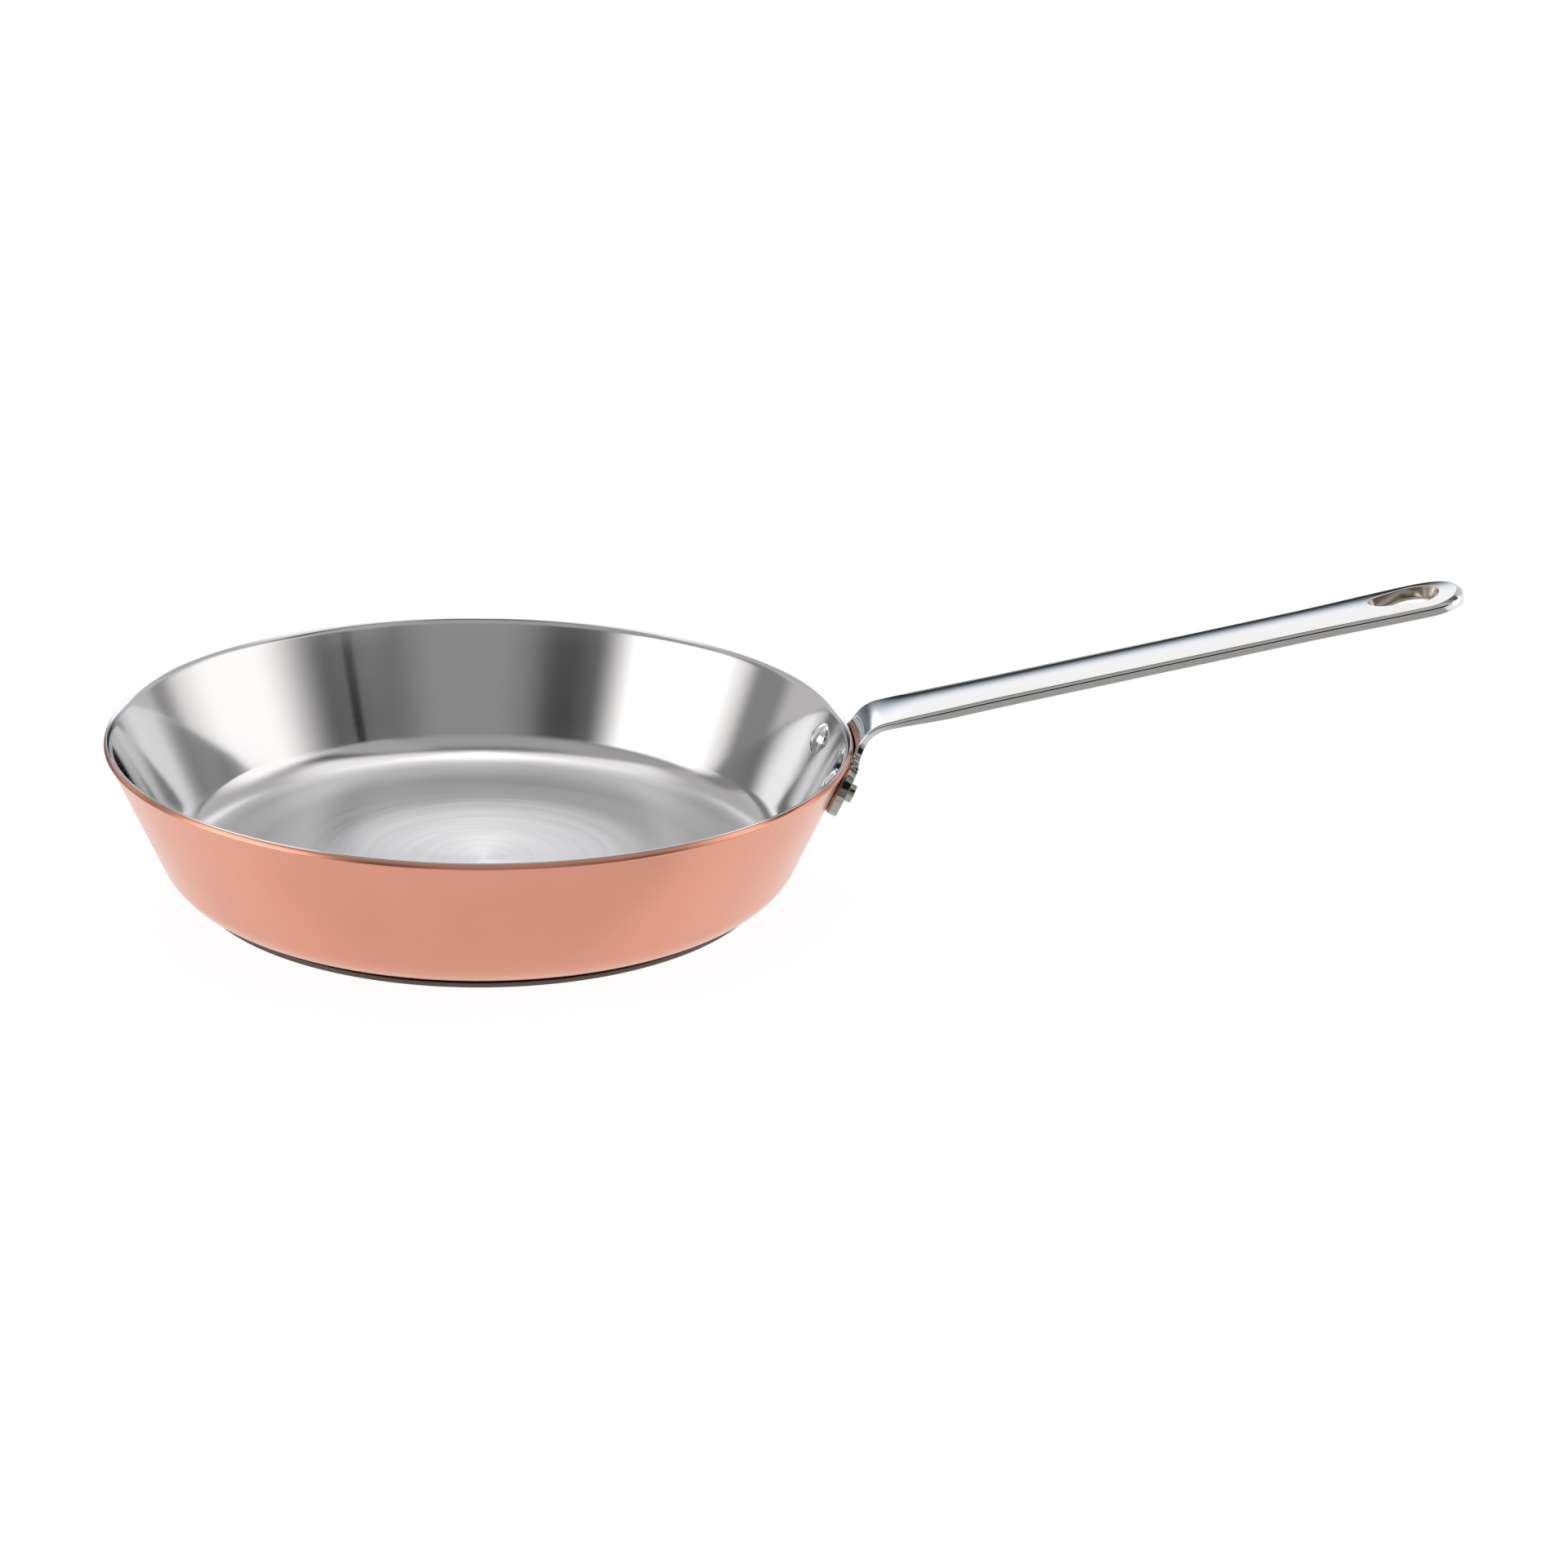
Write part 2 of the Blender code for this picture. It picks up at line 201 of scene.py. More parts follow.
LIP_CENTRE = (
    RIM_RADIUS + LIP_RADIUS * math.cos(LIP_LEAN),
    RIM_HEIGHT - (LIP_RADIUS + SHEET) * math.sin(LIP_LEAN),
)
LIP_START = (
    LIP_CENTRE[0] - LIP_RADIUS * math.cos(WALL_LEAN),
    LIP_CENTRE[1] + LIP_RADIUS * math.sin(WALL_LEAN),
)
CORNER_HEIGHT = BOWL_BOTTOM + CORNER_RADIUS


def wall_radius(height):
    """Radius of the copper's straight wall at a height."""
    return LIP_START[0] - (LIP_START[1] - height) * math.tan(WALL_LEAN)


CORNER_CENTRE = (
    wall_radius(CORNER_HEIGHT - CORNER_RADIUS * math.sin(WALL_LEAN)) - CORNER_RADIUS * math.cos(WALL_LEAN),
    CORNER_HEIGHT,
)


def bowl_line(depth, floor_steps=4, corner_steps=32, wall_steps=6, lip_steps=12):
    """Half section of the surface that lies depth inside the copper's outside, from axis to rim."""
    floor = [(CORNER_CENTRE[0] * f, BOWL_BOTTOM + depth) for f in even(0.0, 1.0, floor_steps)[:-1]]
    corner = arc(CORNER_CENTRE, CORNER_RADIUS - depth, -math.pi / 2, -WALL_LEAN, corner_steps)
    lip = arc(LIP_CENTRE, LIP_RADIUS + depth, math.pi - WALL_LEAN, math.pi - LIP_LEAN, lip_steps)
    wall = [between(corner[-1], lip[0], f) for f in even(0.0, 1.0, wall_steps)]
    return floor + corner + wall[1:-1] + lip


def cut_edge(outer_depth, inner_depth, steps=3):
    """The sheet's rounded corners at the lip, between two depths."""
    along = Vector((math.sin(LIP_LEAN), math.cos(LIP_LEAN)))
    inward = Vector((-math.cos(LIP_LEAN), math.sin(LIP_LEAN)))
    lip_end = Vector(LIP_CENTRE) + inward * LIP_RADIUS
    points = []
    for depth, side, start in ((outer_depth, 1.0, 0.0), (inner_depth, -1.0, math.pi / 2)):
        for i in range(steps + 1):
            a = start + side * math.pi / 2 * i / steps
            offset = depth + side * EDGE_ROUND * (1.0 - math.cos(a))
            back = EDGE_ROUND * (1.0 - math.sin(a))
            points.append(tuple(lip_end + inward * offset - along * back))
    return points


def make_ply(name, outer_depth, inner_depth, mat, node):
    """One layer of the bowl's sheet, between two depths from the outside."""
    outside = bowl_line(outer_depth)[:-1]
    inside = bowl_line(inner_depth)[-2::-1]
    profile = outside + cut_edge(outer_depth, inner_depth) + inside
    ply = turned_object(profile, BOWL_SEGMENTS, name, mat, TURNED_CREASE)
    place(ply, node)


def make_disc(mat, edge_steps=4):
    """The disc under the bowl, with a ring inside each rounded edge that keeps its faces' shading flat."""
    radius, top, chamfer = DISC_HIGH.x, DISC_HIGH.z, DISC_CHAMFER
    flat_radius = radius - 3.0 * chamfer
    profile = [(0.0, 0.0), (radius * 0.5, 0.0), (flat_radius, 0.0)]
    profile += arc((radius - chamfer, chamfer), chamfer, -math.pi / 2, 0.0, edge_steps)
    profile += arc((radius - chamfer, top - chamfer), chamfer, 0.0, math.pi / 2, edge_steps)
    profile += [(flat_radius, top), (0.0, top)]
    disc = turned_object(profile, BOWL_SEGMENTS, "base_disc", mat, TURNED_CREASE)
    place(disc, "induction_base_disc")


# ---------------------------------------------------------------- handle

def strip_path():
    """Pieces of the strip's pan-side line in the XZ plane: (start s, x, z, slope, turn rate)."""
    outward = Vector((math.cos(WALL_LEAN), -math.sin(WALL_LEAN))) * GAP
    origin = Vector((wall_radius(RIVET_HEIGHT), RIVET_HEIGHT)) + outward
    slope = math.pi / 2 - WALL_LEAN
    lift_slope = math.pi / 2 - LIFT_LEAN
    point = origin - Vector((math.cos(slope), math.sin(slope))) * LOBE_RADIUS
    s = -LOBE_RADIUS
    runs = [
        (LIFT_START + LOBE_RADIUS, 0.0),
        (LIFT_RADIUS * (slope - lift_slope), -1.0 / LIFT_RADIUS),
        (LIFT_RUN, 0.0),
        (BEND_RADIUS * (lift_slope - HANDLE_RISE), -1.0 / BEND_RADIUS),
        (END_CENTRE + END_RADIUS, 0.0),
    ]
    pieces = []
    for length, turn in runs:
        pieces.append((s, point[0], point[1], slope, turn))
        x, z, slope = along_piece(pieces[-1], length)
        point = (x, z)
        s += length
    return pieces


def along_piece(piece, distance):
    """Position and slope at a distance along one piece, straight or turning."""
    _, x, z, slope, turn = piece
    if turn == 0.0:
        return x + distance * math.cos(slope), z + distance * math.sin(slope), slope
    new_slope = slope + turn * distance
    x += (math.sin(new_slope) - math.sin(slope)) / turn
    z -= (math.cos(new_slope) - math.cos(slope)) / turn
    return x, z, new_slope


PATH = strip_path()


def on_strip(s, v, depth):
    """World point and unit normal at s along, v across and depth below the strip's pan-side face."""
    piece = next((p for p in reversed(PATH) if s >= p[0]), PATH[0])
    x, z, slope = along_piece(piece, s - piece[0])
    wrap = (1.0 - smoothstep(LIFT_START, WRAP_END, s)) / x
    angle = v * wrap
    lean = -math.sin(slope)
    normal = Vector((lean * math.cos(angle), lean * math.sin(angle), math.cos(slope)))
    if wrap > 0.0:
        point = Vector((x - (1.0 - math.cos(angle)) / wrap, math.sin(angle) / wrap, z))
    else:
        point = Vector((x, v, z))
    return point - normal * depth, normal


def half_width(s):
    """Half width of the strip between its flange and its rounded end."""
    flare = ROOT_FLARE * (1.0 - smoothstep(ROOT_FLARE_START, ROOT_FLARE_END, s))
    return NECK_HALF_WIDTH + flare + TIP_FLARE * smoothstep(TIP_FLARE_START, END_CENTRE, s)


def thickness(s):
    """Thickness of the strip at its edges."""
    thinned = (BEND_THICKNESS - FLANGE_THICKNESS) * smoothstep(*THINNING, s)
    return FLANGE_THICKNESS + thinned + (STRIP_THICKNESS - BEND_THICKNESS) * smoothstep(*THICKENING, s)


def crown_height(s, v):
    """Rise of the top face, a parabola across the strip."""
    return CROWN * smoothstep(CROWN_START, CROWN_FULL, s) * (1.0 - (v / half_width(s)) ** 2)


def seat(s):
    """How much of the clearance the flange fills, so that no light shows between it and the copper."""
    return SEAT_FILL * GAP * (1.0 - smoothstep(0.0, LIFT_START + SEAT_FADE, s))


def bent(flat):
    """World point of a flat (s, v, h), where h runs from 0 on top to STRIP_THICKNESS underneath."""
    s, v, h = flat
    below = h / STRIP_THICKNESS
    return on_strip(s, v, below * thickness(s) - (1.0 - below) * (crown_height(s, v) + seat(s)))[0]


def bent_normal(flat, normal):
    """World normal of the bent surface whose flat normal is given, by the map's cofactors."""
    columns = []
    for axis in range(3):
        offset = Vector((0.0, 0.0, 0.0))
        offset[axis] = NORMAL_OFFSET
        columns.append((bent(flat + offset) - bent(flat - offset)) / (2.0 * NORMAL_OFFSET))
    a, b, c = columns
    world = b.cross(c) * normal.x + c.cross(a) * normal.y + a.cross(b) * normal.z
    return -world.normalized() if a.cross(b).dot(c) < 0.0 else world.normalized()


def half_outline():
    """The strip's flat outline on the +v side, from the waist round the lobe to the tip."""
    lobe = (0.0, RIVET_OFFSET)
    waist_gap = LOBE_RADIUS - WAIST_DEPTH
    waist_radius = (RIVET_OFFSET ** 2 + WAIST_DEPTH ** 2 - LOBE_RADIUS ** 2) / (2.0 * waist_gap)
    waist_centre = (-waist_radius - WAIST_DEPTH, 0.0)
    waist_angle = math.atan2(RIVET_OFFSET, -waist_centre[0])
    neck = half_width(ROOT_FLARE_START)
    fillet_v = neck + FILLET_RADIUS
    fillet_s = math.sqrt((LOBE_RADIUS + FILLET_RADIUS) ** 2 - (RIVET_OFFSET - fillet_v) ** 2)
    fillet_angle = math.atan2(fillet_v - RIVET_OFFSET, fillet_s)
    fillet = ((fillet_s, fillet_v), FILLET_RADIUS, math.pi + fillet_angle, 3.0 * math.pi / 2)
    points = arc(waist_centre, waist_radius, 0.0, waist_angle, WAIST_STEPS)
    points += arc(lobe, LOBE_RADIUS, math.pi + waist_angle, fillet_angle, LOBE_STEPS)[1:]
    points += arc(*fillet, FILLET_STEPS)[1:]
    straight = even(fillet_s, END_CENTRE, round((END_CENTRE - fillet_s) / CELL))[1:]
    points += [(s, half_width(s)) for s in straight]
    return points + arc((END_CENTRE, 0.0), END_RADIUS, math.pi / 2, 0.0, TIP_STEPS)[1:]


def outward_normals(points):
    """Unit normals on the left of an open (s, v) line whose ends meet v = 0 squarely."""
    normals = []
    for i, _ in enumerate(points):
        before = points[max(i - 1, 0)]
        after = points[min(i + 1, len(points) - 1)]
        n = Vector((before[1] - after[1], after[0] - before[0])).normalized()
        normals.append(n)
    for i in (0, -1):
        normals[i] = Vector((math.copysign(1.0, normals[i].x), 0.0))
    return normals


def edge_rings():
    """Flat rings round the outside of the strip, from the top face down to the underside."""
    top = [
        (TOP_ROUND * (1.0 - math.sin(a)), TOP_ROUND * (1.0 - math.cos(a)))
        for a in even(0.0, math.pi / 2, TOP_ROUND_STEPS)
    ]
    under = [
        (UNDER_ROUND * (1.0 - math.cos(a)), STRIP_THICKNESS - UNDER_ROUND * (1.0 - math.sin(a)))
        for a in even(0.0, math.pi / 2, UNDER_ROUND_STEPS)
    ]
    outline = half_outline()
    normals = outward_normals(outline)
    rings = []
    for inset, h in top + under:
        ring = []
        for (s, v), n in zip(outline, normals):
            tip = max(s - END_CENTRE, 0.0) / END_RADIUS
            swell = END_BULGE * tip * tip * smoothstep(0.0, STRIP_THICKNESS * 0.5, h)
            ring.append(Vector((s + n.x * (swell - inset), v + n.y * (swell - inset), h)))
        rings.append(ring)
    return rings


def slot_half(wide, narrow):
    """Upper half of an egg shape, from its wide end round to its narrow end."""
    side = math.acos((narrow[1] - wide[1]) / (wide[0] - narrow[0]))
    wide_end = arc((wide[0], 0.0), wide[1], 0.0, side, WIDE_END_STEPS)
    return wide_end + arc((narrow[0], 0.0), narrow[1], side, math.pi, NARROW_END_STEPS)


def follow(line, length, start, end, steps):
    """Carry a section of (inwards, depth) points on by a run that turns from one angle to another."""
    for i in range(steps):
        a = math.radians(start + (end - start) * (i + 0.5) / steps)
        x, h = line[-1]
        line.append((x + math.cos(a) * length / steps, h + math.sin(a) * length / steps))


def slot_rings():
    """Flat rings down through the slot: a rounded rim, a funnel, the throat and its rounded lower edge."""
    line = [(0.0, 0.0)]
    follow(line, *RIM_RUN)
    follow(line, *FUNNEL_RUN)
    throat_end = STRIP_THICKNESS - LOWER_RUN[0] * 2.0 / math.pi
    line.append((line[-1][0], throat_end))
    follow(line, *LOWER_RUN)
    throat_x = max(x for x, _ in line)
    throat = slot_half(*SLOT_THROAT)
    rim = slot_half(*SLOT_RIM)
    rings = []
    for x, h in line:
        share = 1.0 - x / throat_x
        depth = min(h, STRIP_THICKNESS)
        rings.append([Vector((*between(t, r, share), depth)) for t, r in zip(throat, rim)])
    return rings


def ring_normals(rings):
    """Flat normals of a grid of rings, with the first and last facing straight up and down."""
    normals = []
    for j, ring in enumerate(rings):
        above = rings[max(j - 1, 0)]
        below = rings[min(j + 1, len(rings) - 1)]
        row = []
        for i, _ in enumerate(ring):
            along = ring[min(i + 1, len(ring) - 1)] - ring[max(i - 1, 0)]
            n = along.cross(below[i] - above[i]).normalized()
            if i in (0, len(ring) - 1):
                n.y = 0.0
                n.normalize()
            row.append(n)
        normals.append(row)
    normals[0] = [Vector((0.0, 0.0, -1.0)) for _ in rings[0]]
    normals[-1] = [Vector((0.0, 0.0, 1.0)) for _ in rings[-1]]
    return normals


def slice_at(bm, axis, values):
    """Cut new edge loops where the coordinate along axis takes each value."""
    normal = Vector((0.0, 0.0, 0.0))
    normal[axis] = 1.0
    for value in values:
        geom = list(bm.verts) + list(bm.edges) + list(bm.faces)
        bmesh.ops.bisect_plane(bm, geom=geom, dist=CUT_TOLERANCE, plane_co=normal * value, plane_no=normal)


def flat_half_handle():
    """One half of the strip as a flat solid, open along v = 0: (bmesh, normal layer, slot wall layer)."""
    bm = bmesh.new()
    layer = bm.verts.layers.float_vector.new("flat_normal")
    inside = bm.verts.layers.float.new("slot_wall")
    grids = []
    for rings, in_slot in ((edge_rings(), 0.0), (slot_rings(), 1.0)):
        grid = []
        for level, (ring, normals) in enumerate(zip(rings, ring_normals(rings))):
            row = []
            for point, normal in zip(ring, normals):
                vert = bm.verts.new(point)
                vert[layer] = normal
                vert[inside] = in_slot if 1 < level < len(rings) - 1 else 0.0
                row.append(vert)
            grid.append(row)
        for upper, lower in zip(grid, grid[1:]):
            for i in range(len(upper) - 1):
                bm.faces.new((upper[i], upper[i + 1], lower[i + 1], lower[i]))
        grids.append(grid)
    for level in (0, -1):
        bm.faces.new(grids[0][level] + grids[1][level])
    bmesh.ops.recalc_face_normals(bm, faces=bm.faces)
    first, last = -LOBE_RADIUS, END_CENTRE + END_RADIUS
    slice_at(bm, 0, even(first, last, round((last - first) / CELL))[1:-1])
    rows = int((RIVET_OFFSET + LOBE_RADIUS) / CELL)
    slice_at(bm, 1, [CELL * (i + 0.5) for i in range(rows)])
    return bm, layer, inside


def make_handle(mat):
    """Mirror the flat half, bend it, and give every vertex the bent surface's own normal."""
    bm, layer, inside = flat_half_handle()
    flats = []
    faces = []
    slot_wall = []
    for side in (1.0, -1.0):
        start = len(flats)
        bm.verts.index_update()
        for vert in bm.verts:
            s, v, h = vert.co
            n = vert[layer]
            flats.append((Vector((s, side * v, h)), Vector((n.x, side * n.y, n.z)).normalized()))
            slot_wall.append(vert[inside])
        for face in bm.faces:
            corners = [start + vert.index for vert in face.verts]
            faces.append(corners if side > 0.0 else corners[::-1])
    bm.free()
    mesh = bpy.data.meshes.new("handle")
    mesh.from_pydata([bent(flat) for flat, _ in flats], [], faces)
    normals = [bent_normal(flat, n) for flat, n in flats]
    mesh.attributes.new("true_normal", "FLOAT_VECTOR", "POINT")
    mesh.attributes["true_normal"].data.foreach_set("vector", [c for n in normals for c in n])
    mesh.attributes.new("slot_wall", "FLOAT", "POINT")
    mesh.attributes["slot_wall"].data.foreach_set("value", slot_wall)
    bm = bmesh.new()
    bm.from_mesh(mesh)
    bmesh.ops.remove_doubles(bm, verts=bm.verts, dist=WELD_DISTANCE)
    bmesh.ops.recalc_face_normals(bm, faces=bm.faces)
    layer = bm.verts.layers.float_vector["true_normal"]
    normals = []
    for vert in bm.verts:
        normal = vert[layer].normalized()
        normals.append(-normal if vert.normal.dot(normal) < 0.0 else normal)
    bm.to_mesh(mesh)
    bm.free()
    mesh.shade_smooth()
    mesh.normals_split_custom_set_from_vertices(normals)
    handle = link_object("polished_handle", mesh, mat)
    place(handle, "handle")


# ---------------------------------------------------------------- rivets

def rivet_frame(side):
    """Frame with its origin on the flange's pan-side face and +Z out through the flange."""
    point, normal = on_strip(0.0, side * RIVET_OFFSET, 0.0)
    return Matrix.Translation(point) @ (-normal).to_track_quat("Z", "Y").to_matrix().to_4x4()


def make_rivet(word, side, mat):
    """Domed head inside the bowl, shank through the sheet and flange, short flat tail outside."""
    head_base = -(GAP + SHEET)
    rise = HEAD_HEIGHT - HEAD_EDGE
    sphere = (HEAD_RADIUS ** 2 + rise ** 2) / (2.0 * rise)
    rim_angle = math.asin(HEAD_RADIUS / sphere) - math.pi / 2
    dome = arc((0.0, head_base - HEAD_HEIGHT + sphere), sphere, -math.pi / 2, rim_angle, DOME_STEPS)
    dome[0] = (0.0, dome[0][1])
    head_corner = (HEAD_RADIUS - HEAD_EDGE, head_base - HEAD_EDGE)
    tail_base = FLANGE_THICKNESS
    tail_end = tail_base + TAIL_HEIGHT
    tail_corner = (TAIL_RADIUS - TAIL_CHAMFER, tail_end - TAIL_CHAMFER)
    profile = dome[:-1] + arc(head_corner, HEAD_EDGE, rim_angle, 0.0, HEAD_EDGE_STEPS)[1:]
    profile += [(HEAD_RADIUS, head_base), (SHANK_RADIUS, head_base), (SHANK_RADIUS, tail_base)]
    profile += [(TAIL_RADIUS, tail_base)]
    profile += arc(tail_corner, TAIL_CHAMFER, 0.0, math.pi / 2, TAIL_CHAMFER_STEPS)
    profile += [(0.0, tail_end)]
    rivet = turned_object(profile, RIVET_SEGMENTS, f"riveted_{word}", mat, RIVET_CREASE)
    rivet.matrix_world = rivet_frame(side)
    place(rivet, f"rivet_{word}")


# ---------------------------------------------------------------- materials

class Nodes:
    """Short calls for building a node tree."""

    def __init__(self, tree):
        self.tree = tree

    def add(self, kind, **settings):
        node = self.tree.nodes.new(kind)
        for key, value in settings.items():
            setattr(node, key, value)
        return node

    def put(self, socket, value):
        """Link a socket or set a plain value."""
        if isinstance(value, bpy.types.NodeSocket):
            self.tree.links.new(value, socket)
        else:
            socket.default_value = value

    def math(self, operation, *values):
        node = self.add("ShaderNodeMath", operation=operation)
        for socket, value in zip(node.inputs, values):
            self.put(socket, value)
        return node.outputs[0]

    def remap(self, value, low, high, to_low=0.0, to_high=1.0, smooth=False):
        node = self.add("ShaderNodeMapRange", interpolation_type="SMOOTHSTEP" if smooth else "LINEAR")
        names = ("Value", "From Min", "From Max", "To Min", "To Max")
        for name, item in zip(names, (value, low, high, to_low, to_high)):
            self.put(node.inputs[name], item)
        return node.outputs[0]

    def noise(self, vector, scale, detail=2.0, rough=0.5):
        node = self.add("ShaderNodeTexNoise")
        self.put(node.inputs["Vector"], vector)
        node.inputs["Scale"].default_value = scale
        node.inputs["Detail"].default_value = detail
        node.inputs["Roughness"].default_value = rough
        return node.outputs["Fac"]

    def mix(self, factor, a, b):
        node = self.add("ShaderNodeMix", data_type="RGBA")
        self.put(node.inputs["Factor"], factor)
        self.put(node.inputs["A"], a)
        self.put(node.inputs["B"], b)
        return node.outputs["Result"]

    def combine(self, x, y, z):
        node = self.add("ShaderNodeCombineXYZ")
        for socket, value in zip(node.inputs, (x, y, z)):
            self.put(socket, value)
        return node.outputs[0]

    def separate(self, vector):
        node = self.add("ShaderNodeSeparateXYZ")
        self.put(node.inputs[0], vector)
        return node.outputs

    def bump(self, height, distance, strength=1.0):
        node = self.add("ShaderNodeBump")
        node.inputs["Strength"].default_value = strength
        node.inputs["Distance"].default_value = distance
        self.put(node.inputs["Height"], height)
        return node.outputs[0]


FINE_LINES = 2600.0                      # noise scales, per metre
DISC_LINES = 2200.0
COARSE_RINGS = 420.0
COPPER_CLOUDS = 18.0
LINING_CLOUDS = 25.0
STEEL_CLOUDS = 40.0
LINE_DRIFT = 0.0012                      # how far the turned lines drift through the noise per radian
LINE_BUMP = 0.000002                     # heights, in metres
DISC_BUMP = 0.00001
QUARTER_TURN = 0.25                      # sends the stretched highlights across the turned lines

COPPER_DEEP = (0.72, 0.323, 0.228, 1.0)
COPPER_PALE = (0.77, 0.352, 0.252, 1.0)
LINING_GREY = (0.63, 0.63, 0.64, 1.0)
LINING_PALE = (0.72, 0.72, 0.73, 1.0)
LINING_CLOUDY = (0.60, 0.60, 0.60, 1.0)
# painted shade: darker grey for a ring of the floor, standing in for a darker reflection there
LINING_PAINTED_SHADE = (0.50, 0.50, 0.51, 1.0)
DISC_DARK = (0.085, 0.06, 0.05, 1.0)
DISC_WARM = (0.15, 0.115, 0.10, 1.0)
PLAIN_STEEL = (0.74, 0.74, 0.75, 1.0)
PLAIN_STEEL_PALE = (0.79, 0.79, 0.79, 1.0)
# painted shade: darker, warm steel on the flange and the rivets' tails, standing in for the copper's warm
# reflection and the shade there
PAINTED_SHADE_STEEL = (0.36, 0.34, 0.315, 1.0)
# painted shade: brownish colour on the slot's inside wall, standing in for the dark reflections in that
# recess
SLOT_PAINTED_SHADE = (0.55, 0.48, 0.41, 1.0)

WALL_FINISH = (0.096, 0.112)             # radii between which the floor's brushing gives way to polish
RING_FADE = (0.05, 0.09)                 # radii between which the floor's coarse rings fade
SMOOTH_SHADED_RING_IN = (0.045, 0.066)          # radii over which the floor's smoother ring, darkened with painted shade, comes in
SMOOTH_SHADED_RING_OUT = (0.078, 0.092)         # and goes out again

HANDLE_POLISH = (0.03, 0.07)             # lowest and highest roughness
RIVET_POLISH = (0.08, 0.14)
FLANGE_SHADE_SPAN = (0.1345, 0.128)           # x from the handle's bend down to its flange, over which painted shade comes in
TAIL_SHADE_SPAN = (-0.001, 0.0005)            # height in a rivet's own frame, from polished head to tail, over which painted shade comes in


def metal(name, anisotropic=0.0):
    """A metallic Principled material: (material, node helper, shader)."""
    mat = bpy.data.materials.new(name)
    mat.use_nodes = True
    nodes = Nodes(mat.node_tree)
    shader = mat.node_tree.nodes["Principled BSDF"]
    shader.inputs["Metallic"].default_value = 1.0
    shader.inputs["Anisotropic"].default_value = anisotropic
    shader.inputs["Anisotropic Rotation"].default_value = QUARTER_TURN
    return mat, nodes, shader


def object_place(nodes):
    return nodes.add("ShaderNodeTexCoord").outputs["Object"]


def turning_lines(nodes, scale):
    """Radius, and the lines that turning leaves: noise that changes quickly only with radius and height."""
    x, y, z = nodes.separate(object_place(nodes))
    squares = nodes.math("ADD", nodes.math("MULTIPLY", x, x), nodes.math("MULTIPLY", y, y))
    radius = nodes.math("SQRT", squares)
    drift = nodes.math("MULTIPLY", nodes.math("ARCTAN2", y, x), LINE_DRIFT)
    lines = nodes.noise(nodes.combine(radius, z, drift), scale, detail=3.0, rough=0.6)
    return radius, lines


def radial_tangent(nodes, shader):
    node = nodes.add("ShaderNodeTangent", direction_type="RADIAL", axis="Z")
    nodes.put(shader.inputs["Tangent"], node.outputs[0])


def copper():
    mat, nodes, shader = metal("polished_copper", 0.35)
    _, lines = turning_lines(nodes, FINE_LINES)
    cloud = nodes.noise(object_place(nodes), COPPER_CLOUDS, detail=3.0)
    tone = nodes.math("ADD", nodes.math("MULTIPLY", cloud, 0.85), nodes.math("MULTIPLY", lines, 0.15))
    color = nodes.mix(nodes.remap(tone, 0.35, 0.65), COPPER_DEEP, COPPER_PALE)
    nodes.put(shader.inputs["Base Color"], color)
    nodes.put(shader.inputs["Roughness"], nodes.remap(lines, 0.3, 0.7, 0.2, 0.28))
    nodes.put(shader.inputs["Normal"], nodes.bump(lines, LINE_BUMP, strength=0.4))
    radial_tangent(nodes, shader)
    return mat


def lining_steel():
    mat, nodes, shader = metal("brushed_lining", 0.75)
    radius, lines = turning_lines(nodes, FINE_LINES)
    _, rings = turning_lines(nodes, COARSE_RINGS)
    cloud = nodes.noise(object_place(nodes), LINING_CLOUDS, detail=3.0)
    on_wall = nodes.remap(radius, *WALL_FINISH, smooth=True)
    on_floor = nodes.remap(on_wall, 0.0, 1.0, 1.0, 0.12)
    inner = nodes.math("MULTIPLY", nodes.remap(radius, *RING_FADE, 1.0, 0.3), on_floor)
    contrast = nodes.math("MULTIPLY", nodes.remap(rings, 0.4, 0.65), inner)
    smooth_shaded_in = nodes.remap(radius, *SMOOTH_SHADED_RING_IN, smooth=True)
    smooth_shaded_out = nodes.remap(radius, *SMOOTH_SHADED_RING_OUT, 1.0, 0.0, smooth=True)
    smoother_and_shaded = nodes.math("MULTIPLY", smooth_shaded_in, smooth_shaded_out)
    color = nodes.mix(contrast, LINING_GREY, LINING_PALE)
    color = nodes.mix(nodes.math("MULTIPLY", cloud, 0.3), color, LINING_CLOUDY)
    # painted shade: a darker ring on the floor, which is also a little smoother below
    color = nodes.mix(nodes.math("MULTIPLY", smoother_and_shaded, 0.7), color, LINING_PAINTED_SHADE)
    nodes.put(shader.inputs["Base Color"], color)
    base = nodes.remap(on_wall, 0.0, 1.0, 0.35, 0.08)
    base = nodes.math("SUBTRACT", base, nodes.math("MULTIPLY", smoother_and_shaded, 0.05))
    ringed = nodes.math("MULTIPLY", nodes.remap(rings, 0.3, 0.7, -0.04, 0.04), inner)
    brushed = nodes.remap(lines, 0.3, 0.7, -0.01, 0.015)
    rough = nodes.math("ADD", nodes.math("ADD", base, ringed), brushed)
    nodes.put(shader.inputs["Roughness"], rough)
    nodes.put(shader.inputs["Normal"], nodes.bump(lines, LINE_BUMP, strength=0.3))
    radial_tangent(nodes, shader)
    return mat


def disc_steel():
    mat, nodes, shader = metal("base_disc_steel", 0.4)
    _, lines = turning_lines(nodes, DISC_LINES)
    nodes.put(shader.inputs["Base Color"], nodes.mix(lines, DISC_DARK, DISC_WARM))
    nodes.put(shader.inputs["Roughness"], nodes.remap(lines, 0.3, 0.7, 0.28, 0.42))
    nodes.put(shader.inputs["Normal"], nodes.bump(lines, DISC_BUMP, strength=0.6))
    radial_tangent(nodes, shader)
    return mat


